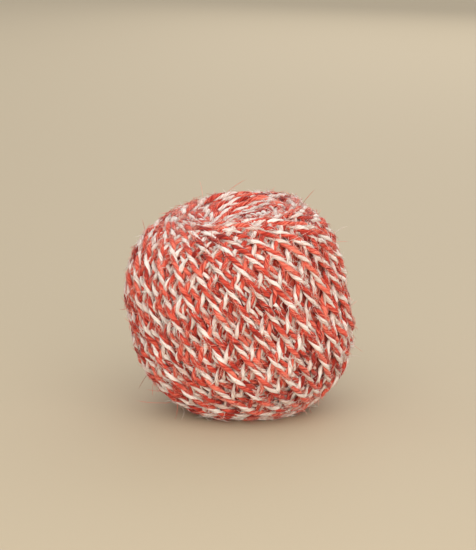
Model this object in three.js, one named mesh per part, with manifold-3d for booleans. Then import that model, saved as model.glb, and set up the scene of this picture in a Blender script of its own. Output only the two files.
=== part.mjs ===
// Ball of twine: one length of two-ply twine, wound by machine into a full ball that lies on a small flat spot.
// Millimetres, +Z up, seen in the picture from -Y. The origin is at the middle of its box, on the surface below.
import * as THREE from 'three';
import Module from 'manifold-3d';

const wasm = await Module();
wasm.setup();

const rad = THREE.MathUtils.degToRad;

// Driving sizes of the ball, over its outer turns
const EQUATOR_RADIUS = 37.4;
const TOP = { height: 39.2, fullness: 2.95, shift: 1.5, dimple: 5.7 };
const BOTTOM = { height: 34.7, fullness: 2.27, shift: 4.3, dimple: 0 };
const DIMPLE_EDGE = rad(10);

// Depth that is pressed flat where it lies, and height over which the turns come back to their full relief
const FLAT_DEPTH = 2.4;
const RELIEF_RETURN = 2.5;

// Lean away from upright, of the whole form and of the axis that its outer turns go round
const FORM_LEAN = { left: rad(11), forward: rad(4.3) };
const WINDING_LEAN = { left: rad(4.5), forward: rad(4.3) };

// Relief of the turns, measured from the outer size
const RELIEF = { upper: 0.2, under: -0.4, gap: -1.1, rim: -0.1 };

// The outer turns circle the ball and stop short of its poles, and older turns show inside that rim
const OUTER_TURNS = { loops: 28, limit: rad(62.5), firstStep: -18, lastStep: 18 };
const POLE_TURNS = { loops: 14, limit: rad(78), firstStep: 3, lastStep: 8 };
const STEPS_PER_TURN = 3;
const POLE_RING = { points: 21, latitude: rad(84) };

const TWINE_COLOUR = 0xc8826f;
const TWINE_ROUGHNESS = 0.95;

function leanMatrix({ left, forward }) {
  return new THREE.Matrix4()
    .makeRotationX(forward)
    .premultiply(new THREE.Matrix4().makeRotationY(-left));
}

const formLean = leanMatrix(FORM_LEAN);
const windingToForm = leanMatrix(FORM_LEAN).invert().multiply(leanMatrix(WINDING_LEAN));

// Distance from the centre to the full form, along a direction about the form's own axis
function fullRadius(direction) {
  const end = direction.z < 0 ? BOTTOM : TOP;
  const across = Math.pow(Math.hypot(direction.x, direction.y) / EQUATOR_RADIUS, end.fullness);
  const along = Math.pow(Math.abs(direction.z) / end.height, end.fullness);
  return Math.pow(across + along, -1 / end.fullness);
}

// Depth of the dimple inside the rim of the outer turns
function dimpleDepth(latitude) {
  const end = latitude < 0 ? BOTTOM : TOP;
  const edge = Math.PI / 2 - DIMPLE_EDGE;
  return end.dimple * THREE.MathUtils.smoothstep(Math.abs(latitude), OUTER_TURNS.limit, edge);
}

// Point at a latitude and longitude about the winding axis, with the sideways sag of the form, then leaned
function ballPoint(latitude, longitude, relief) {
  const reach = Math.cos(latitude);
  const point = new THREE.Vector3(reach * Math.cos(longitude), reach * Math.sin(longitude), Math.sin(latitude));
  point.applyMatrix4(windingToForm);
  const end = point.z < 0 ? BOTTOM : TOP;
  point.multiplyScalar(fullRadius(point) - dimpleDepth(latitude) + relief);
  point.x += end.shift * Math.pow(point.z / end.height, 2);
  return point.applyMatrix4(formLean);
}

// One ring of points about the axis. A ring of turns knows its step along them, and a plain ring does not
function ring(points, latitude, reliefAt, step = null) {
  return { points, latitude, reliefAt, step };
}

const isTurn = (number) => ((number % STEPS_PER_TURN) + STEPS_PER_TURN) % STEPS_PER_TURN === 0;

// Upper turns fall to the right as seen from the front, and the turns under them rise to the right
function turnRelief(step, column) {
  if (isTurn(column + step)) {
    return RELIEF.upper;
  }
  return isTurn(column - step) ? RELIEF.under : RELIEF.gap;
}

function turnRings(turns, side = 1) {
  const points = turns.loops * STEPS_PER_TURN;
  const stepAngle = (2 * Math.PI) / points;
  const rings = [];
  for (let count = turns.firstStep; count <= turns.lastStep; count += 1) {
    const step = side * count;
    const latitude = Math.atan(Math.tan(turns.limit) * Math.sin(step * stepAngle));
    rings.push(ring(points, latitude, (column) => turnRelief(step, column), step));
  }
  return rings;
}

// Rings of one pole, from the rim of the outer turns inwards
function poleRings(side) {
  return [
    ring(OUTER_TURNS.loops * STEPS_PER_TURN, side * OUTER_TURNS.limit, () => RELIEF.rim),
    ...turnRings(POLE_TURNS, side),
    ring(POLE_TURNS.loops * STEPS_PER_TURN, side * POLE_TURNS.limit, () => RELIEF.under),
    ring(POLE_RING.points, side * POLE_RING.latitude, () => RELIEF.gap),
    ring(1, (side * Math.PI) / 2, () => RELIEF.gap),
  ];
}

const rings = [...poleRings(-1).reverse(), ...turnRings(OUTER_TURNS), ...poleRings(1)];

const longitudeOf = (column, points) => (column * 2 * Math.PI) / points;

// The flat spot lies a little above the lowest point of the smooth surface
function flatHeight() {
  let lowest = Infinity;
  for (const { points, latitude } of rings) {
    for (let column = 0; column < points; column += 1) {
      lowest = Math.min(lowest, ballPoint(latitude, longitudeOf(column, points), 0).z);
    }
  }
  return lowest + FLAT_DEPTH;
}

// Points of every ring, with the relief pressed out near the flat spot
function ringVertices(flatZ) {
  const vertices = [];
  for (const row of rings) {
    row.first = vertices.length;
    for (let column = 0; column < row.points; column += 1) {
      const longitude = longitudeOf(column, row.points);
      const smoothZ = ballPoint(row.latitude, longitude, 0).z;
      const share = THREE.MathUtils.smoothstep(smoothZ, flatZ, flatZ + RELIEF_RETURN);
      vertices.push(ballPoint(row.latitude, longitude, share * row.reliefAt(column)));
    }
  }
  return vertices;
}

// Faces between two neighbouring rings, from the lower to the upper, facing out
function bandFaces(lower, upper) {
  const low = (column) => lower.first + (column % lower.points);
  const high = (column) => upper.first + (column % upper.points);
  const faces = [];
  if (lower.points === 1) {
    for (let k = 0; k < upper.points; k += 1) {
      faces.push([low(0), high(k + 1), high(k)]);
    }
  } else if (upper.points === 1) {
    for (let k = 0; k < lower.points; k += 1) {
      faces.push([low(k), low(k + 1), high(0)]);
    }
  } else if (lower.points < upper.points) {
    for (let k = 0; k < lower.points; k += 1) {
      faces.push([low(k), high(2 * k + 1), high(2 * k)]);
      faces.push([low(k), low(k + 1), high(2 * k + 1)]);
      faces.push([low(k + 1), high(2 * k + 2), high(2 * k + 1)]);
    }
  } else if (lower.points > upper.points) {
    for (let k = 0; k < upper.points; k += 1) {
      faces.push([low(2 * k), low(2 * k + 1), high(k)]);
      faces.push([low(2 * k + 1), high(k + 1), high(k)]);
      faces.push([low(2 * k + 1), low(2 * k + 2), high(k + 1)]);
    }
  } else {
    for (let k = 0; k < lower.points; k += 1) {
      faces.push(...quadFaces(lower.step, k, low, high));
    }
  }
  return faces;
}

// A quad is split along the turn that crosses it, and along the upper one where two cross
function quadFaces(step, k, low, high) {
  const onUpper = step !== null && isTurn(k + 1 + step);
  const onUnder = step !== null && isTurn(k - step);
  if (onUnder && !onUpper) {
    return [[low(k), low(k + 1), high(k + 1)], [low(k), high(k + 1), high(k)]];
  }
  return [[low(k), low(k + 1), high(k)], [low(k + 1), high(k + 1), high(k)]];
}

function woundSolid(flatZ) {
  const vertices = ringVertices(flatZ);
  const faces = [];
  for (let index = 1; index < rings.length; index += 1) {
    faces.push(...bandFaces(rings[index - 1], rings[index]));
  }
  const vertProperties = new Float32Array(vertices.flatMap((vertex) => vertex.toArray()));
  const triVerts = new Uint32Array(faces.flat());
  return new wasm.Manifold(new wasm.Mesh({ numProp: 3, vertProperties, triVerts }));
}

// Block below the flat spot, which cuts it
function blockBelow(flatZ) {
  const side = 4 * EQUATOR_RADIUS;
  const block = new THREE.BoxGeometry(side, side, side).translate(0, 0, flatZ - side / 2);
  block.deleteAttribute('normal');
  block.deleteAttribute('uv');
  const merged = mergedCorners(block);
  return new wasm.Manifold(new wasm.Mesh({ numProp: 3, ...merged }));
}

// Shared corners of a box, one vertex for each
function mergedCorners(block) {
  const places = block.attributes.position;
  const corners = [];
  const numbers = new Map();
  const shared = [];
  for (let index = 0; index < places.count; index += 1) {
    const corner = [places.getX(index), places.getY(index), places.getZ(index)];
    const key = corner.join();
    if (!numbers.has(key)) {
      numbers.set(key, corners.length);
      corners.push(corner);
    }
    shared.push(numbers.get(key));
  }
  const triVerts = new Uint32Array(Array.from(block.index.array, (index) => shared[index]));
  return { vertProperties: new Float32Array(corners.flat()), triVerts };
}

function toGeometry(solid) {
  const { vertProperties, triVerts } = solid.getMesh();
  const geometry = new THREE.BufferGeometry();
  geometry.setAttribute('position', new THREE.BufferAttribute(vertProperties, 3));
  geometry.setIndex(new THREE.BufferAttribute(triVerts, 1));
  return geometry;
}

// The ball, with the middle of its box over the origin and its flat spot on the surface
function twineBall() {
  const flatZ = flatHeight();
  const geometry = toGeometry(woundSolid(flatZ).subtract(blockBelow(flatZ)));
  geometry.computeBoundingBox();
  const middle = geometry.boundingBox.getCenter(new THREE.Vector3());
  geometry.translate(-middle.x, -middle.y, -flatZ);
  geometry.computeVertexNormals();
  const material = new THREE.MeshStandardMaterial({
    color: TWINE_COLOUR,
    roughness: TWINE_ROUGHNESS,
    metalness: 0,
  });
  const mesh = new THREE.Mesh(geometry, material);
  mesh.name = 'twine_ball';
  return mesh;
}

const part = new THREE.Group();
part.add(twineBall());

export default part;
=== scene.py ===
# Ball of red and white two-ply twine, wound turn by turn over its solid.
import math

import bpy
import numpy as np
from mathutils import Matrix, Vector


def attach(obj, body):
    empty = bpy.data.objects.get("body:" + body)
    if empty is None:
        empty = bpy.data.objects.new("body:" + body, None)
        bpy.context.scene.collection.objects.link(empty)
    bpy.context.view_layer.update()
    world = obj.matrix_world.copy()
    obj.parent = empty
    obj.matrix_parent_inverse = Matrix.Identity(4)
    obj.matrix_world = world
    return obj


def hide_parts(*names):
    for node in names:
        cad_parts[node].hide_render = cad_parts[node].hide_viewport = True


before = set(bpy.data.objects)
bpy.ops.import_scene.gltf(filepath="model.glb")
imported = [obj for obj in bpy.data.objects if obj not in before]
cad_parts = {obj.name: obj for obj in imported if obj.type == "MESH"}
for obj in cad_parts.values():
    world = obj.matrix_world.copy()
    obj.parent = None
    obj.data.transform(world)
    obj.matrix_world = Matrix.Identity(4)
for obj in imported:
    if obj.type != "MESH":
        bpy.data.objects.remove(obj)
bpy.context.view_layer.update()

MM = 0.001

# The ends of the ball, as the sign that latitudes have there
UPPER, LOWER = 1, -1

# Ball as in the solid, in millimetres. Fullness is the power that rounds its profile
EQUATOR_RADIUS = 37.4
TOP = {"height": 39.2, "fullness": 2.95, "shift": 1.5, "dimple": 5.7}
BOTTOM = {"height": 34.7, "fullness": 2.27, "shift": 4.3, "dimple": 0.0}

# The dimple starts at the rim of the outer turns, and has its full depth within this angle of the pole
DIMPLE_EDGE = math.radians(10)

# Flat spot: how deep the ball is pressed, and the spot's middle and radius on the floor
FLAT_DEPTH = 2.4
FLAT_CENTRE = (0.96, -0.97)
FLAT_RADIUS = 15.5

# How the form and the winding lean from upright
FORM_LEAN = {"left": math.radians(11), "forward": math.radians(4.3)}
WINDING_LEAN = {"left": math.radians(4.5), "forward": math.radians(4.3)}

# Twine, in millimetres: how far each ply lies off the strand's middle, and half its thickness and width
RED_PLY = {"offset": 0.47, "thick": 0.70, "wide": 0.94}
WHITE_PLY = {"offset": 0.63, "thick": 0.42, "wide": 0.78}
TWIST_PITCH = 9.1

# UV map of a ply, in millimetres: about its girth, and how far its fibres go round for each one along it
PLY_ROUND = 4.7
FIBRE_TWIST = 0.25

# Unevenness along the twine: its size as a share, and the length in millimetres over which it changes
UNEVEN_PITCH = {"size": 0.10, "length": 35}
UNEVEN_OFFSET = {"size": 0.06, "length": 5}
FINE_SWELL = {"size": 0.08, "length": 3.5}
BROAD_SWELL = {"size": 0.07, "length": 14}
FIBRE_LUMPS = {"size": 0.15, "length": 2.5}
FINE_TONE = {"size": 0.6, "length": 9}
BROAD_TONE = {"size": 0.4, "length": 60}

# Strand as laid, in millimetres: what it adds to the height, its half width, and the ground that bears it
LAID_THICKNESS = 0.85
STRAND_REACH = 1.15
FOOTPRINT = 0.8

# Between the strands that bear it, a strand falls this many times faster than a straight line would
SAG = 6
SETTLING_PASSES = 80

# Turns that crowd past these limits slide in side by side and add less height, but at least a share
CROWDING_ALLOWED = 1.6
POLE_STRAND_WIDTH = 2.2
LEAST_ADDED = {"outer": 0.12, "pole": 0.15}

# Widths in millimetres by which the wound surface is smoothed, so that heights can be measured from it
TREND_AROUND = 9
TREND_UP = 3.5

# Millimetres that a strand may stand proud of the form, and the share of any more that is pressed in
PROUD = 0.35
PRESSED = 0.6

# Turns lower than SPREAD_BELOW spread outwards, by up to SPREAD at the floor, both in millimetres
SPREAD = 2.4
SPREAD_BELOW = 10

# Over the floor, in millimetres: middles of the lowest strands, softness of their bend, and least gap
LOWEST_MIDDLE = STRAND_REACH * 0.85
BEND_SOFTNESS = 0.35
FLOOR_GAP = 0.02

# Winding. Each turn is a great circle leaned by LIMIT, and steps back round the axis by STEP_ROUND
LIMIT = math.radians(62.5)
STEP_ROUND = math.radians(13.01)

# Number of outer turns, of the newest that are drawn finely, and of the first that are laid but not drawn
TURNS = 92
FINE_TURNS = 42
HIDDEN_TURNS = 14

# Outer turns as a path: points for each turn, points that are laid with the next turn, smoothing in points
POINTS_PER_TURN = 400
LATE_POINTS = 4
TURN_SMOOTHING = 1.5

# Where the last turn ends along its circle and round the axis, and how far turns drift from their places
END_ALONG = math.radians(338)
END_LONGITUDE = math.radians(-6)
WANDER_ROUND = math.radians(0.75)
WANDER_LIMIT = math.radians(1.0)

# Older turns that show inside the rim at each pole, and pass nearest to it one after the other
POLE_TURNS = {UPPER: 96, LOWER: 44}
POLE_STEP = math.radians(39)
POLE_START = math.radians(150)
POLE_NEAREST = math.radians(0.5)
POLE_FARTHEST = math.radians(27)

# They are drawn out to this angle from the pole, or this far past their nearest place if that is less
POLE_SHOWN = math.radians(36)
POLE_SHOWN_BEYOND = math.radians(18)

# Smoothing at the poles: of the paths in steps, and of the mean profile in cells
POLE_SMOOTHING = 3.5
PROFILE_SMOOTHING = 2

# Percentage of strands that stay below the full form, and the bands of latitude that it is worked out in
POLE_LEVEL = 88
OUTER_LEVEL = 74
LEVEL_BANDS = 12

# How far the turns at the poles dive under the outer ones, from how far inside the rim, over what angle
POLE_DIVE = 3.5
POLE_DIVE_START = {UPPER: math.radians(5), LOWER: math.radians(1)}
POLE_DIVE_OVER = math.radians(8)

# Wound mass below all turns, in millimetres: its depth, which grows towards the poles, and lowest height
INNER_DEPTH = 4.1
INNER_DEPTH_AT_POLE = 4.8
INNER_POLE_START = math.radians(64)
INNER_POLE_OVER = math.radians(10)
INNER_LOWEST = 1.5

# Meshes of the strands: steps in each twist and sides of a ply. The coarse ones lie deep and bear no fuzz
FINE_MESH = {"steps": 8, "sides": 8}
COARSE_MESH = {"steps": 5, "sides": 5}
POLE_MESH = {"steps": 8, "sides": 6}

# At the poles the plies lie close, so only every third one bears fuzz
POLE_HAIRY_EVERY = 3

# Fuzz: number of hairs, half their thickness in millimetres at the root, and its share at the last ring
RED_HAIRS = 29000
WHITE_HAIRS = 19000
HAIR_RADIUS = 0.085
HAIR_TAPER = 0.8
HAIR_SIDES = 3
HAIR_TONES = (-0.5, 1.8)

# Shares of long hairs and of hairs laid along their ply. The rest are short, and LIE_FLAT lays them down
LONG_HAIR_SHARE = 0.0045
LAID_HAIR_SHARE = 0.4
LIE_FLAT = 0.85

# A kind of hair has its points, its direction off the ply, along it and astray, and its bend and curl
LONG_HAIR = {"points": 5, "off": 0.5, "along": 0.6, "astray": 0.4, "bend": 0.0, "curl": 0.12}
LAID_HAIR = {"points": 3, "off": 0.2, "along": 1.0, "astray": 0.22, "bend": -0.1, "curl": 0.15}
SHORT_HAIR = {"points": 3, "off": 0.9, "along": 0.5, "astray": 0.45, "bend": 0.0, "curl": 0.35}

# Lengths of hairs in millimetres. Most short ones are little longer than the least length
LONG_LENGTHS = (4, 9)
LAID_LENGTHS = (1.5, 4)
SHORT_LENGTH = {"least": 0.8, "mean_more": 0.9, "most_more": 2.5}

# Frayed tip of the last turn: number of hairs, their sizes in millimetres, and their direction and curl
TUFT_HAIRS = {"red": 8, "white": 160}
TUFT_WIDTH = 0.35
TUFT_RADIUS = 0.12
TUFT_LENGTHS = (1.2, 3.0)
TUFT_TONES = (1, 2.5)
TUFT = {"points": 3, "along": 0.35, "astray": 0.4, "curl": 0.2}

# Two long hairs that stand off the ball, in millimetres in the frame
STRAY_TONE = 0.3
STRAY_HAIRS = [
    [(-20.5, -4.0, 3.6), (-24.5, -5.0, 2.8), (-29.0, -5.5, 3.0), (-32.5, -5.3, 3.3), (-35.2, -5.0, 3.8)],
    [(-4.6, 9.0, 71.8), (-2.8, 10.0, 73.3), (-1.0, 10.0, 74.6), (0.7, 10.0, 75.7), (2.3, 10.0, 76.5)],
]

# Random values: knots to spare past the last place on a path, and the seed
SPARE_KNOTS = 4
SEED = 7
rng = np.random.default_rng(SEED)


# Ball surface

def lean_matrix(lean):
    """Rotation to the frame from the directions of an axis that leans left and forward."""
    c, s = math.cos(lean["forward"]), math.sin(lean["forward"])
    forward = np.array([[1, 0, 0], [0, c, -s], [0, s, c]])
    c, s = math.cos(lean["left"]), math.sin(lean["left"])
    left = np.array([[c, 0, -s], [0, 1, 0], [s, 0, c]])
    return left @ forward


FORM_TO_FRAME = lean_matrix(FORM_LEAN)
WINDING_TO_FORM = FORM_TO_FRAME.T @ lean_matrix(WINDING_LEAN)


def form_directions(latitude, longitude):
    """Directions about the form's own axis, from places about the winding axis."""
    reach = np.cos(latitude)
    own = np.stack([reach * np.cos(longitude), reach * np.sin(longitude), np.sin(latitude)], axis=-1)
    return own @ WINDING_TO_FORM.T


def of_end(z, key):
    """A driving size of the top or of the bottom, for heights above or below the centre."""
    return np.where(z < 0, BOTTOM[key], TOP[key])


def outer_radius(latitude, longitude):
    """Distance from the centre to the full form, at places about the winding axis."""
    directions = form_directions(latitude, longitude)
    z = directions[..., 2]
    fullness = of_end(z, "fullness")
    across = (np.hypot(directions[..., 0], directions[..., 1]) / EQUATOR_RADIUS) ** fullness
    along = (np.abs(z) / of_end(z, "height")) ** fullness
    return (across + along) ** (-1 / fullness)


def dish(latitude):
    """Depth of the pole's dimple below the outer surface, in a given latitude."""
    depth = np.where(latitude < 0, BOTTOM["dimple"], TOP["dimple"])
    share = (np.abs(latitude) - LIMIT) / (math.pi / 2 - DIMPLE_EDGE - LIMIT)
    share = np.clip(share, 0, 1)
    return depth * share * share * (3 - 2 * share)


def ball_points(latitude, longitude, radius):
    """Points on or in the ball about its own centre, with the sideways sag of the form."""
    points = form_directions(latitude, longitude) * radius[..., None]
    z = points[..., 2]
    points[..., 0] += of_end(z, "shift") * (z / of_end(z, "height")) ** 2
    return points @ FORM_TO_FRAME.T


def ball_centre():
    """Where the ball's own centre lies when its box is centred and its flat spot is on the surface."""
    latitude, longitude = np.meshgrid(
        np.linspace(-math.pi / 2, math.pi / 2, 361), np.linspace(0, 2 * math.pi, 721)
    )
    points = ball_points(latitude, longitude, outer_radius(latitude, longitude))
    low, high = points.min(axis=(0, 1)), points.max(axis=(0, 1))
    return np.array([-(low[0] + high[0]) / 2, -(low[1] + high[1]) / 2, -low[2] - FLAT_DEPTH])


CENTRE = ball_centre()


# Lay-up: each turn rests on what was wound before it

class Field:
    """Heights of a wound surface on a grid of cells, and the lay-up of strands over it."""

    def __init__(self, narrowing, columns, cell, wraps):
        self.heights = np.zeros((len(narrowing), columns))
        self.narrowing = narrowing
        self.cell = cell
        self.wraps = wraps

    def near(self, row, column, reach):
        """Cells near each point of a path, and how far off they are."""
        rows, columns = self.heights.shape
        squeeze = self.narrowing[np.clip(np.round(row).astype(int), 0, rows - 1)]
        tall = math.ceil(reach / self.cell)
        wide = math.ceil(reach / (self.cell * squeeze.min()))
        r = np.round(row)[:, None, None] + np.arange(-tall, tall + 1)[None, :, None]
        c = np.round(column)[:, None, None] + np.arange(-wide, wide + 1)[None, None, :]
        off_row = (r - row[:, None, None]) * self.cell
        off_column = (c - column[:, None, None]) * self.cell * squeeze[:, None, None]
        away = np.hypot(off_row, off_column)
        r, c = np.broadcast_arrays(np.clip(r, 0, rows - 1), c)
        c = c % columns if self.wraps else np.clip(c, 0, columns - 1)
        return r.astype(int), c.astype(int), away

    def rest(self, row, column, thickness, step, before=None):
        """Heights at which a taut strand's centre comes to rest, from the height where it comes from."""
        r, c, away = self.near(row, column, FOOTPRINT)
        under = np.where(away < FOOTPRINT, self.heights[r, c], -np.inf).max(axis=(1, 2))
        resting = under + thickness / 2
        pull = SAG * step**2 / (2 * EQUATOR_RADIUS)
        height = resting.copy()
        for _ in range(SETTLING_PASSES):
            first = height[0] if before is None else before
            back = np.concatenate([[first], height[:-1]])
            ahead = np.concatenate([height[1:], height[-1:]])
            height = np.maximum(resting, (back + ahead) / 2 - pull)
        return height

    def deposit(self, row, column, height, thickness):
        """Raises the surface to the top of a strand."""
        r, c, away = self.near(row, column, STRAND_REACH)
        crown = np.sqrt(np.clip(1 - (away / STRAND_REACH) ** 2, 0, None))
        top = height[:, None, None] + (thickness / 2)[:, None, None] * crown
        inside = away < STRAND_REACH
        np.maximum.at(self.heights, (r[inside], c[inside]), top[inside])

    def blurred(self, values, around, up):
        """Blurs a grid of values by widths in millimetres, round the axis and up it."""
        rows, columns = values.shape
        waves = np.fft.rfftfreq(columns)
        spread = around / (self.cell * self.narrowing)
        damping = np.exp(-2 * (math.pi * waves[None, :] * spread[:, None]) ** 2)
        across = np.fft.irfft(np.fft.rfft(values, axis=1) * damping, columns, axis=1)
        mirrored = np.concatenate([across[::-1], across, across[::-1]])
        waves = np.fft.rfftfreq(3 * rows)
        damping = np.exp(-2 * (math.pi * waves * up / self.cell) ** 2)
        both = np.fft.irfft(np.fft.rfft(mirrored, axis=0) * damping[:, None], 3 * rows, axis=0)
        return both[rows:2 * rows]

    def trend(self, row, column, around, up):
        """Height of the smoothed surface under the points of a path, on a grid that wraps round."""
        wound = (self.heights > 0).astype(float)
        least_share = 0.02
        share = np.maximum(self.blurred(wound, around, up), least_share)
        surface = self.blurred(self.heights * wound, around, up) / share
        rows, columns = surface.shape
        r = np.clip(np.floor(row).astype(int), 0, rows - 2)
        c = np.floor(column).astype(int)
        part_r, part_c = row - r, column - c
        c, d = c % columns, (c + 1) % columns
        low = surface[r, c] * (1 - part_c) + surface[r, d] * part_c
        high = surface[r + 1, c] * (1 - part_c) + surface[r + 1, d] * part_c
        return low * (1 - part_r) + high * part_r


def smooth(values, width):
    """Averages values along a path with a bell of the given width in steps, cut off at three widths."""
    half = int(3 * width)
    bell = np.exp(-0.5 * (np.arange(-half, half + 1) / width) ** 2)
    padded = np.concatenate([np.full(half, values[0]), values, np.full(half, values[-1])])
    return np.convolve(padded, bell / bell.sum(), mode="valid")


def round_profile(field, middle):
    """Mean height of a field about its middle, for each distance of whole cells."""
    rows, columns = field.heights.shape
    r, c = np.meshgrid(np.arange(rows) - middle, np.arange(columns) - middle, indexing="ij")
    ring = np.round(np.hypot(r, c)).astype(int).ravel()
    total = np.bincount(ring, weights=field.heights.ravel())
    return smooth(total / np.maximum(np.bincount(ring), 1), PROFILE_SMOOTHING)


def between(knots, place):
    """Values that pass smoothly from knot to knot, at places counted in knots."""
    first = np.floor(place).astype(int)
    share = place - first
    share = share * share * (3 - 2 * share)
    return knots[first] * (1 - share) + knots[first + 1] * share


def wander(number, size):
    """Slow random drift of the outer turns, with one knot for each half turn."""
    knots = rng.normal(0, size, 2 * TURNS + SPARE_KNOTS)
    return between(knots, np.clip(2 * number + 1, 0, len(knots) - 2))


def great_circle(limit, start_longitude, along):
    """Latitude and longitude along a circle about the centre that is leaned by limit."""
    latitude = np.arcsin(np.sin(limit) * np.sin(along))
    longitude = start_longitude + np.arctan2(np.cos(limit) * np.sin(along), np.cos(along))
    return latitude, longitude


def outer_level(latitude, height, at):
    """Level that most strands stay under, found in bands of latitude and read off at other latitudes."""
    edges = np.linspace(-LIMIT, LIMIT, LEVEL_BANDS + 1)
    band = np.clip(np.searchsorted(edges, latitude) - 1, 0, LEVEL_BANDS - 1)
    levels = [np.percentile(height[band == number], OUTER_LEVEL) for number in range(LEVEL_BANDS)]
    return np.interp(at, (edges[:-1] + edges[1:]) / 2, levels)


def pressed_in(offset):
    """Presses in strands that stand proud of the full form, from their distance to it."""
    proud = offset + STRAND_REACH - PROUD
    return offset - PRESSED * np.maximum(proud, 0)


def main_turns():
    """The run of outer turns as one path: latitude, longitude, radius and turn number of its points."""
    rows = 240
    columns = 2 * rows
    cell_angle = math.pi / rows
    middle_row = (rows - 1) / 2
    row_latitudes = (np.arange(rows) - middle_row) * cell_angle
    least_narrowing = 0.1
    narrowing = np.maximum(np.cos(row_latitudes), least_narrowing)
    field = Field(narrowing, columns, cell_angle * EQUATOR_RADIUS, wraps=True)
    number = np.arange(TURNS * POINTS_PER_TURN) / POINTS_PER_TURN
    age = TURNS - number
    along = END_ALONG - 2 * math.pi * age
    limit = LIMIT + wander(number, WANDER_LIMIT)
    end_start = END_LONGITUDE - math.atan2(math.cos(LIMIT) * math.sin(END_ALONG), math.cos(END_ALONG))
    start = end_start + STEP_ROUND * age + wander(number, WANDER_ROUND)
    latitude, longitude = great_circle(limit, start, along)
    # Turns crowd towards the rim, where the crowding is kept finite
    least_to_rim = 0.003
    to_rim = np.maximum(np.sin(limit) ** 2 - np.sin(latitude) ** 2, least_to_rim)
    crowding = np.sin(limit) / np.sqrt(to_rim)
    thickness = LAID_THICKNESS * np.clip(CROWDING_ALLOWED / crowding, LEAST_ADDED["outer"], 1)
    row = latitude / cell_angle + middle_row
    column = np.mod(longitude, 2 * math.pi) / cell_angle
    step = 2 * math.pi * EQUATOR_RADIUS / POINTS_PER_TURN
    height = np.zeros(len(number))
    laid = 0
    for first in range(0, len(number), POINTS_PER_TURN):
        turn = slice(first, first + POINTS_PER_TURN)
        before = height[first - 1] if first else None
        height[turn] = field.rest(row[turn], column[turn], thickness[turn], step, before)
        # The last few points are laid with the next turn, which mustn't rest on them
        ready = slice(laid, first + POINTS_PER_TURN - LATE_POINTS)
        field.deposit(row[ready], column[ready], height[ready], thickness[ready])
        laid = ready.stop
    offset = smooth(height, TURN_SMOOTHING) - field.trend(row, column, TREND_AROUND, TREND_UP)
    newest = age < 2 * math.pi / STEP_ROUND
    offset -= outer_level(latitude[newest], offset[newest], latitude) + STRAND_REACH
    return latitude, longitude, outer_radius(latitude, longitude) + pressed_in(offset), number


def pole_radius(side, latitude, longitude, offset):
    """Distance from the centre to a pole's turn, which dives under the outer turns towards the rim."""
    under = np.clip((LIMIT + POLE_DIVE_START[side] - np.abs(latitude)) / POLE_DIVE_OVER, 0, 1)
    surface = outer_radius(latitude, longitude) - dish(latitude) - POLE_DIVE * under
    return surface + pressed_in(offset)


def pole_turns(side):
    """Older turns near one pole, each a path of latitude, longitude and radius."""
    cell = 0.5
    size = 110
    middle = (size - 1) / 2
    step = 0.6
    per_round = 2 * math.pi / STEP_ROUND
    field = Field(np.ones(size), size, cell, wraps=False)
    paths = []
    turns = POLE_TURNS[side]
    for turn in range(turns):
        share = turn / (turns - 1)
        nearest = POLE_NEAREST + (POLE_FARTHEST - POLE_NEAREST) * share
        nearest += abs(rng.normal(0, WANDER_LIMIT))
        shown = min(POLE_SHOWN, nearest + POLE_SHOWN_BEYOND)
        half = math.acos(math.cos(shown) / math.cos(nearest))
        count = int(2 * half * EQUATOR_RADIUS / step)
        along = math.pi / 2 + np.linspace(-half, half, count)
        start = POLE_START + side * POLE_STEP * (turn - turns) + rng.normal(0, WANDER_ROUND)
        latitude, longitude = great_circle(math.pi / 2 - nearest, start, along)
        reach = np.cos(latitude) * EQUATOR_RADIUS
        row = reach * np.sin(longitude) / cell + middle
        column = reach * np.cos(longitude) / cell + middle
        # The turns of one round crowd where they pass nearest to the pole
        nearest_reach = math.sin(nearest) * EQUATOR_RADIUS
        spacing = 2 * math.pi * np.sqrt(np.maximum(reach**2 - nearest_reach**2, 0)) / per_round
        thickness = LAID_THICKNESS * np.clip(spacing / POLE_STRAND_WIDTH, LEAST_ADDED["pole"], 1)
        height = field.rest(row, column, thickness, step)
        field.deposit(row, column, height, thickness)
        paths.append((latitude, longitude, smooth(height, POLE_SMOOTHING), row, column))
    profile = round_profile(field, middle)
    made = []
    for latitude, longitude, height, row, column in paths:
        away = np.hypot(row - middle, column - middle)
        offset = height - np.interp(away, np.arange(len(profile)), profile)
        made.append((side * latitude, longitude, offset))
    newer_offsets = np.concatenate([offset for _, _, offset in made[turns // 2:]])
    level = np.percentile(newer_offsets, POLE_LEVEL)
    return [
        (latitude, longitude, pole_radius(side, latitude, longitude, offset - level - STRAND_REACH))
        for latitude, longitude, offset in made
    ]


# Strands as meshes

def path_points(latitude, longitude, radius):
    """Centre line of a strand in the frame, spread outwards and pressed up where it nears the floor."""
    points = ball_points(latitude, longitude, radius) + CENTRE
    low = np.clip(1 - points[:, 2] / SPREAD_BELOW, 0, 1)
    away = points[:, :2] - FLAT_CENTRE
    distance = np.hypot(away[:, 0], away[:, 1])
    points[:, :2] += away * (SPREAD * low**2 / np.maximum(distance, FLAT_RADIUS))[:, None]
    above = (points[:, 2] - LOWEST_MIDDLE) / BEND_SOFTNESS
    points[:, 2] = LOWEST_MIDDLE + BEND_SOFTNESS * np.logaddexp(0, above)
    return points


def resampled(points, step):
    """Points at even steps along a path."""
    lengths = np.concatenate([[0], np.cumsum(np.linalg.norm(np.diff(points, axis=0), axis=1))])
    count = max(2, int(round(lengths[-1] / step)))
    places = np.linspace(0, lengths[-1], count + 1)
    line = np.stack([np.interp(places, lengths, points[:, axis]) for axis in range(3)], axis=1)
    return line, places


def unit(vectors):
    return vectors / np.linalg.norm(vectors, axis=1, keepdims=True)


def slow_noise(places, size, length):
    """Random values of up to a given size either way, which change over a given length along the twine."""
    knots = rng.uniform(-1, 1, int(places[-1] / length) + SPARE_KNOTS)
    return size * between(knots, places / length)


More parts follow.
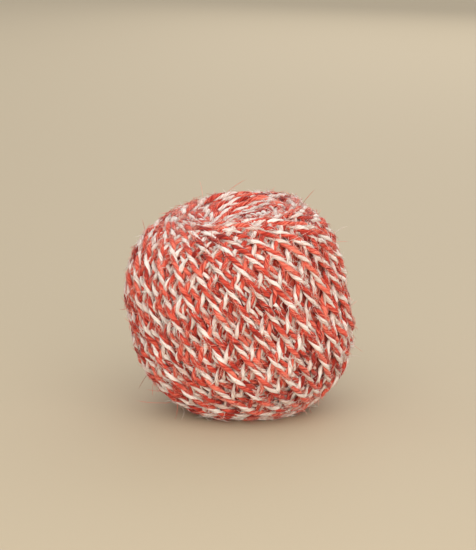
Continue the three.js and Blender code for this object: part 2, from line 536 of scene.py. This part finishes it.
class Mesher:
    """Collects tubes and writes them out as one mesh."""

    def __init__(self):
        self.points, self.quads, self.uvs, self.tones = [], [], [], []
        self.triangles = [np.zeros((0, 3), dtype=int)]
        self.caps = []
        self.roots = []
        self.count = 0

    def open_tube(self, rings):
        """Adds a tube that is closed at its first ring only, and returns the numbers of its last ring."""
        steps, sides = rings.shape[:2]
        index = self.count + np.arange(steps * sides).reshape(steps, sides)
        following = np.roll(index, -1, axis=1)
        bands = np.stack([index[:-1], following[:-1], following[1:], index[1:]], axis=-1)
        self.quads.append(bands.reshape(-1, 4))
        self.caps.append(index[0][::-1])
        self.points.append(rings.reshape(-1, 3))
        self.count += steps * sides
        return index[-1]

    def tube(self, rings, uv, tone):
        """Adds a closed tube from its rings of points."""
        self.caps.append(self.open_tube(rings))
        self.uvs.append(uv.reshape(-1, 2))
        self.tones.append(np.repeat(tone, rings.shape[1]))

    def pointed_tube(self, rings, tip, uv, tone):
        """Adds a tube that ends in a point, with one place on the UV map and one tone."""
        last = self.open_tube(rings)
        tip_numbers = np.full(len(last), self.count)
        self.triangles.append(np.stack([last, np.roll(last, -1), tip_numbers], axis=-1))
        self.points.append(tip[None, :])
        self.count += 1
        added = rings.shape[0] * rings.shape[1] + 1
        self.uvs.append(np.broadcast_to(uv, (added, 2)))
        self.tones.append(np.full(added, tone))

    def build(self, name, material):
        """Makes the object, with the fibre direction as a UV map and the tone as an attribute."""
        points = np.concatenate(self.points) * MM
        quads = np.concatenate(self.quads)
        triangles = np.concatenate(self.triangles)
        loops = np.concatenate([quads.ravel(), triangles.ravel()] + self.caps)
        quad_sizes = np.full(len(quads), 4)
        triangle_sizes = np.full(len(triangles), 3)
        cap_sizes = [len(cap) for cap in self.caps]
        sizes = np.concatenate([quad_sizes, triangle_sizes, cap_sizes]).astype(int)
        starts = np.concatenate([[0], np.cumsum(sizes)[:-1]])
        mesh = bpy.data.meshes.new(name)
        mesh.vertices.add(len(points))
        mesh.vertices.foreach_set("co", points.astype(np.float32).ravel())
        mesh.loops.add(len(loops))
        mesh.loops.foreach_set("vertex_index", loops.astype(np.int32))
        mesh.polygons.add(len(sizes))
        mesh.polygons.foreach_set("loop_start", starts.astype(np.int32))
        mesh.polygons.foreach_set("loop_total", sizes.astype(np.int32))
        mesh.update(calc_edges=True)
        mesh.shade_smooth()
        uv_layer = mesh.uv_layers.new(name="Fibre")
        uv = np.concatenate(self.uvs)[loops]
        uv_layer.data.foreach_set("uv", uv.astype(np.float32).ravel())
        tone = mesh.attributes.new("tone", "FLOAT", "POINT")
        tone.data.foreach_set("value", np.concatenate(self.tones).astype(np.float32))
        mesh.materials.append(material)
        piece = bpy.data.objects.new(name, mesh)
        bpy.context.collection.objects.link(piece)
        return piece


def add_strand(meshers, points, mesh, phase=0.0, hairy=True):
    """Adds one stretch of twine to the red and the white mesher: two plies with an S twist."""
    sides = mesh["sides"]
    line, places = resampled(points, TWIST_PITCH / mesh["steps"])
    tangent = unit(np.gradient(line, axis=0))
    outward = line - CENTRE
    outward -= (outward * tangent).sum(axis=1, keepdims=True) * tangent
    outward = unit(outward)
    across = np.cross(tangent, outward)
    pitch = TWIST_PITCH * (1 + slow_noise(places, **UNEVEN_PITCH))
    turned = phase + np.cumsum(np.full(len(places), places[1]) / pitch) * 2 * math.pi
    for mesher, ply, opposite in zip(meshers, (RED_PLY, WHITE_PLY), (0, math.pi)):
        angle = -(turned + opposite)
        out = np.cos(angle)[:, None] * outward + np.sin(angle)[:, None] * across
        along = -np.sin(angle)[:, None] * outward + np.cos(angle)[:, None] * across
        swell = 1 + slow_noise(places, **FINE_SWELL) + slow_noise(places, **BROAD_SWELL)
        lumps = np.stack([slow_noise(places, **FIBRE_LUMPS) for _ in range(sides)], axis=1)
        size = swell[:, None] * (1 + lumps)
        offset = ply["offset"] * (1 + slow_noise(places, **UNEVEN_OFFSET))
        centre = line + out * offset[:, None]
        # The first side faces the axis, so that the seam of the UV map is hidden
        turn = math.pi + np.arange(sides) * 2 * math.pi / sides
        rim_out = np.cos(turn)[None, :, None] * out[:, None, :] * ply["thick"]
        rim_along = np.sin(turn)[None, :, None] * along[:, None, :] * ply["wide"]
        rings = centre[:, None, :] + (rim_out + rim_along) * size[..., None]
        rings[..., 2] = np.maximum(rings[..., 2], FLOOR_GAP)
        u = np.arange(sides)[None, :] / sides * PLY_ROUND + FIBRE_TWIST * places[:, None]
        v = np.broadcast_to(places[:, None], (len(line), sides))
        tone = slow_noise(places, **FINE_TONE) + slow_noise(places, **BROAD_TONE)
        mesher.tube(rings, np.stack([u, v], axis=-1), tone)
        if hairy:
            mesher.roots.append(hair_roots(rings, centre, tangent, outward))


def hair_roots(rings, centre, tangent, outward):
    """Random points on a ply's outward side where hairs may start, with the ply's directions there."""
    steps, sides = rings.shape[:2]
    step = rng.integers(steps, size=steps)
    root = rings[step, rng.integers(sides, size=steps)]
    normal = unit(root - centre[step])
    open_side = (normal * outward[step]).sum(axis=1) > 0
    return np.concatenate([root, normal, tangent[step]], axis=1)[open_side]


def hair(start, direction, curl, length, radius, count):
    """A count of points along one thin hair that curls evenly, clear of the floor."""
    points = [start]
    for _ in range(count - 1):
        points.append(points[-1] + direction * length / (count - 1))
        direction = direction + curl
        direction /= np.linalg.norm(direction)
    line = np.array(points)
    line[:, 2] = np.maximum(line[:, 2], 2 * radius)
    return line


def add_hair(mesher, line, radius, tone):
    """Adds a hair along a line of points as a thin tube that ends in a point."""
    any_direction = [0.31, 0.52, 0.79]
    map_size = 40
    tangent = unit(np.gradient(line, axis=0))[:-1]
    side = unit(np.cross(tangent, any_direction))
    other = np.cross(tangent, side)
    turn = np.arange(HAIR_SIDES) * 2 * math.pi / HAIR_SIDES
    size = radius * np.linspace(1, HAIR_TAPER, len(tangent))[:, None, None]
    part_side = np.cos(turn)[None, :, None] * side[:, None, :]
    part_other = np.sin(turn)[None, :, None] * other[:, None, :]
    rings = line[:-1, None, :] + (part_side + part_other) * size
    mesher.pointed_tube(rings, line[-1], rng.uniform(0, map_size, 2), tone)


def kind_and_length():
    """Draws the kind of one hair and its length."""
    kind = rng.uniform()
    if kind < LONG_HAIR_SHARE:
        return LONG_HAIR, rng.uniform(*LONG_LENGTHS)
    if kind < LONG_HAIR_SHARE + LAID_HAIR_SHARE:
        return LAID_HAIR, rng.uniform(*LAID_LENGTHS)
    more = min(rng.exponential(SHORT_LENGTH["mean_more"]), SHORT_LENGTH["most_more"])
    return SHORT_HAIR, SHORT_LENGTH["least"] + more


def add_fuzz(mesher, roots, count):
    """Hairs that lie along their ply or across the gap beside it, lighter than the ply on average."""
    for row in rng.integers(len(roots), size=count):
        start, normal, tangent = roots[row, 0:3], roots[row, 3:6], roots[row, 6:9]
        forward = rng.choice([-1, 1]) * tangent
        kind, length = kind_and_length()
        astray = rng.normal(0, kind["astray"], 3)
        direction = kind["off"] * normal + kind["along"] * forward + astray
        if kind is SHORT_HAIR:
            outward = unit((start - CENTRE)[None, :])[0]
            direction -= LIE_FLAT * max(direction @ outward, 0) * outward
        direction /= np.linalg.norm(direction)
        curl = kind["bend"] * normal + rng.normal(0, kind["curl"], 3)
        line = hair(start, direction, curl, length, HAIR_RADIUS, kind["points"])
        add_hair(mesher, line, HAIR_RADIUS, rng.uniform(*HAIR_TONES))


def add_tuft(mesher, points, count):
    """Frayed fibres at the cut end of the twine, where the path of the outer turns ends."""
    end = points[-1]
    before = points[-4]
    along = unit((end - before)[None, :])[0]
    outward = unit((end - CENTRE)[None, :])[0]
    for _ in range(count):
        direction = TUFT["along"] * along + outward + rng.normal(0, TUFT["astray"], 3)
        direction /= np.linalg.norm(direction)
        start = end + rng.normal(0, TUFT_WIDTH, 3)
        curl = rng.normal(0, TUFT["curl"], 3)
        length = rng.uniform(*TUFT_LENGTHS)
        line = hair(start, direction, curl, length, TUFT_RADIUS, TUFT["points"])
        add_hair(mesher, line, TUFT_RADIUS, rng.uniform(*TUFT_TONES))


# Materials

# Streaks run along the fibres. They drive the relief, and with the tone of each stretch the colour
STREAK_STRETCH = (1.0, 0.12, 1.0)
STREAKS = {"Scale": 1.6, "Detail": 3.0, "Roughness": 0.65}
TONE_SHARE = 0.16
COLOUR_PLACES = {"dark": 0.35, "middle": 0.5, "light": 0.65}
RELIEF = {"Strength": 0.8, "Distance": 0.0002}
ROUGHNESS = {"To Min": 0.95, "To Max": 0.72}
SURFACE = {"Specular IOR Level": 0.25, "Sheen Weight": 0.25, "Sheen Roughness": 0.5}


def new_material(name):
    """A material and its shader."""
    material = bpy.data.materials.new(name)
    material.use_nodes = True
    return material, material.node_tree.nodes["Principled BSDF"]


def set_inputs(node, values):
    """Sets the inputs of a node from a table of their names."""
    for name, value in values.items():
        node.inputs[name].default_value = value


def colour_ramp(nodes, colours):
    """A ramp from dark over middle to light."""
    ramp = nodes.new("ShaderNodeValToRGB")
    elements = ramp.color_ramp.elements
    elements[0].position = COLOUR_PLACES["dark"]
    elements[0].color = (*linear(*colours["dark"]), 1)
    elements[1].position = COLOUR_PLACES["light"]
    elements[1].color = (*linear(*colours["light"]), 1)
    elements.new(COLOUR_PLACES["middle"]).color = (*linear(*colours["middle"]), 1)
    return ramp


def fibre_material(name, colours):
    """Jute ply: streaks along the fibres, dye uneven from stretch to stretch, matte with a soft sheen."""
    material, shader = new_material(name)
    nodes = material.node_tree.nodes
    links = material.node_tree.links
    uv = nodes.new("ShaderNodeUVMap")
    uv.uv_map = "Fibre"
    stretch = nodes.new("ShaderNodeMapping")
    stretch.inputs["Scale"].default_value = STREAK_STRETCH
    links.new(uv.outputs["UV"], stretch.inputs["Vector"])
    streaks = nodes.new("ShaderNodeTexNoise")
    set_inputs(streaks, STREAKS)
    links.new(stretch.outputs["Vector"], streaks.inputs["Vector"])
    tone = nodes.new("ShaderNodeAttribute")
    tone.attribute_name = "tone"
    toned = nodes.new("ShaderNodeMath")
    toned.operation = "MULTIPLY_ADD"
    toned.inputs[1].default_value = TONE_SHARE
    links.new(tone.outputs["Fac"], toned.inputs[0])
    links.new(streaks.outputs["Fac"], toned.inputs[2])
    ramp = colour_ramp(nodes, colours)
    links.new(toned.outputs["Value"], ramp.inputs["Fac"])
    links.new(ramp.outputs["Color"], shader.inputs["Base Color"])
    bump = nodes.new("ShaderNodeBump")
    set_inputs(bump, RELIEF)
    links.new(streaks.outputs["Fac"], bump.inputs["Height"])
    links.new(bump.outputs["Normal"], shader.inputs["Normal"])
    rough = nodes.new("ShaderNodeMapRange")
    set_inputs(rough, ROUGHNESS)
    links.new(streaks.outputs["Fac"], rough.inputs["Value"])
    links.new(rough.outputs["Result"], shader.inputs["Roughness"])
    set_inputs(shader, SURFACE)
    return material


def plain_material(name, colour, roughness):
    """A material of one colour, given by display values."""
    material, shader = new_material(name)
    set_inputs(shader, {"Base Color": (*linear(*colour), 1), "Roughness": roughness})
    return material


def linear(red, green, blue):
    """Linear colour from 0 to 255 display values."""
    def one(value):
        value /= 255
        return value / 12.92 if value <= 0.04045 else ((value + 0.055) / 1.055) ** 2.4
    return (one(red), one(green), one(blue))


RED_COLOURS = {"dark": (118, 19, 12), "middle": (200, 60, 42), "light": (234, 126, 104)}
RED_FUZZ_COLOURS = {"dark": (150, 34, 24), "middle": (220, 96, 74), "light": (244, 172, 152)}
WHITE_COLOURS = {"dark": (200, 170, 158), "middle": (231, 216, 208), "light": (242, 234, 228)}

RED = fibre_material("red_jute", RED_COLOURS)
RED_FUZZ = fibre_material("red_fuzz", RED_FUZZ_COLOURS)
WHITE = fibre_material("white_jute", WHITE_COLOURS)


# Pieces

def finish_piece(piece, replaced=False):
    """Hangs a piece on the ball's body, and hides the solid if the piece stands for it."""
    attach(piece, "root")
    if replaced:
        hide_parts("twine_ball")


def finish_turns(meshers, name, replaced=False):
    """Makes the red and the white piece of some turns."""
    red, white = meshers
    finish_piece(red.build(name + "_red", RED), replaced)
    finish_piece(white.build(name + "_white", WHITE))


def make_turns():
    """The outer turns in stretches, newest first. Returns their points and each colour's hair roots."""
    latitude, longitude, radius, number = main_turns()
    points = path_points(latitude, longitude, radius)
    stretches = [
        ("newest_turns", TURNS - FINE_TURNS / 2, TURNS, FINE_MESH),
        ("newer_turns", TURNS - FINE_TURNS, TURNS - FINE_TURNS / 2, FINE_MESH),
        ("older_turns", HIDDEN_TURNS, TURNS - FINE_TURNS, COARSE_MESH),
    ]
    roots = ([], [])
    for name, first, last, mesh in stretches:
        inside = (number >= first) & (number <= last)
        meshers = (Mesher(), Mesher())
        add_strand(meshers, points[inside], mesh, hairy=mesh is FINE_MESH)
        finish_turns(meshers, name, replaced=name == "newest_turns")
        for kept, mesher in zip(roots, meshers):
            kept.extend(mesher.roots)
    return points, roots


def make_pole_turns(roots):
    """The oldest turns that show inside the rim at both poles. Adds to the hair roots of each colour."""
    meshers = (Mesher(), Mesher())
    for side in (UPPER, LOWER):
        for latitude, longitude, radius in pole_turns(side):
            phase = rng.uniform(0, 2 * math.pi)
            add_strand(meshers, path_points(latitude, longitude, radius), POLE_MESH, phase)
    finish_turns(meshers, "pole_turns")
    for kept, mesher in zip(roots, meshers):
        kept.extend(mesher.roots[::POLE_HAIRY_EVERY])


def make_inside():
    """The wound mass that shows dimly through the gaps between the turns."""
    rows, columns = 61, 120
    latitude = np.linspace(-math.pi / 2, math.pi / 2, rows)[1:-1]
    longitude = np.arange(columns) * 2 * math.pi / columns
    grid_latitude, grid_longitude = np.meshgrid(latitude, longitude, indexing="ij")
    pole = np.clip((np.abs(grid_latitude) - INNER_POLE_START) / INNER_POLE_OVER, 0, 1)
    depth = INNER_DEPTH + (INNER_DEPTH_AT_POLE - INNER_DEPTH) * pole
    radius = outer_radius(grid_latitude, grid_longitude) - dish(grid_latitude) - depth
    points = ball_points(grid_latitude, grid_longitude, radius) + CENTRE
    points[..., 2] = np.maximum(points[..., 2], INNER_LOWEST)
    map_scale = 8
    uv = np.stack([grid_longitude * map_scale, grid_latitude * EQUATOR_RADIUS], axis=-1)
    mesher = Mesher()
    mesher.tube(points, uv, np.zeros(rows - 2))
    finish_piece(mesher.build("inner_turns", RED))


def make_fuzz(points, roots):
    """Hairs all over the ball, the frayed end of the last turn and two long strays."""
    red, more_red, white = Mesher(), Mesher(), Mesher()
    red_roots, white_roots = np.concatenate(roots[0]), np.concatenate(roots[1])
    add_fuzz(red, red_roots, RED_HAIRS // 2)
    add_fuzz(more_red, red_roots, RED_HAIRS // 2)
    add_fuzz(white, white_roots, WHITE_HAIRS)
    add_tuft(red, points, TUFT_HAIRS["red"])
    add_tuft(white, points, TUFT_HAIRS["white"])
    for line in STRAY_HAIRS:
        add_hair(red, np.array(line), HAIR_RADIUS, STRAY_TONE)
    finish_piece(red.build("fuzz_red_1", RED_FUZZ))
    finish_piece(more_red.build("fuzz_red_2", RED_FUZZ))
    finish_piece(white.build("fuzz_white", WHITE))


turn_points, hair_places = make_turns()
make_pole_turns(hair_places)
make_inside()
make_fuzz(turn_points, hair_places)


# Stage, in metres but for the sensor, which is in millimetres

IMAGE = (476, 550)
CAMERA_DISTANCE = 0.9
CAMERA_ELEVATION = math.radians(12)
PIXELS_PER_METRE = 2990
AIM = Vector((-0.0006, 0, 0.0457))
SENSOR = 36

FLOOR_HALF_SIZE = 3.0
FLOOR_COLOUR = (194, 178, 150)
FLOOR_ROUGHNESS = 0.8

WORLD_STRENGTH = 0.72
LIT_POINT = Vector((0, 0, 0.03))
LIGHTS = [
    {"name": "above", "place": (0.1, -0.8, 0.6), "size": 1.5, "power": 8.3, "colour": (1.0, 0.98, 0.96)},
    {"name": "front", "place": (0.15, -1.0, 0.15), "size": 0.7, "power": 4.1, "colour": (1.0, 0.86, 0.66)},
    {"name": "behind", "place": (0.3, 0.9, 0.5), "size": 0.9, "power": 2.0, "colour": (1.0, 1.0, 1.0)},
]


def make_camera():
    """Camera at the photo's angle."""
    data = bpy.data.cameras.new("camera")
    camera = bpy.data.objects.new("camera", data)
    bpy.context.collection.objects.link(camera)
    back = Vector((0, -math.cos(CAMERA_ELEVATION), math.sin(CAMERA_ELEVATION)))
    camera.location = AIM + back * CAMERA_DISTANCE
    camera.rotation_euler = (-back).to_track_quat("-Z", "Y").to_euler()
    data.sensor_width = SENSOR
    data.lens = PIXELS_PER_METRE * CAMERA_DISTANCE * SENSOR / max(IMAGE)
    data.clip_start = 0.01
    data.clip_end = 20
    bpy.context.scene.camera = camera


def make_floor():
    """Plain pale floor."""
    size = FLOOR_HALF_SIZE
    mesh = bpy.data.meshes.new("floor")
    corners = [(-size, -size, 0), (size, -size, 0), (size, size, 0), (-size, size, 0)]
    mesh.from_pydata(corners, [], [(0, 1, 2, 3)])
    mesh.materials.append(plain_material("floor", FLOOR_COLOUR, FLOOR_ROUGHNESS))
    floor = bpy.data.objects.new("floor", mesh)
    bpy.context.collection.objects.link(floor)


def area_light(name, place, size, power, colour):
    """Soft lamp that is turned towards the ball."""
    data = bpy.data.lights.new(name, "AREA")
    data.size = size
    data.energy = power
    data.color = colour
    light = bpy.data.objects.new(name, data)
    light.location = place
    light.rotation_euler = (LIT_POINT - Vector(place)).to_track_quat("-Z", "Y").to_euler()
    bpy.context.collection.objects.link(light)


def make_lights():
    """White surroundings and the lamps."""
    world = bpy.data.worlds.new("world")
    bpy.context.scene.world = world
    world.use_nodes = True
    background = world.node_tree.nodes["Background"]
    background.inputs["Color"].default_value = (1.0, 1.0, 1.0, 1)
    background.inputs["Strength"].default_value = WORLD_STRENGTH
    for light in LIGHTS:
        area_light(**light)


bpy.context.scene.view_settings.view_transform = "Standard"
make_camera()
make_floor()
make_lights()
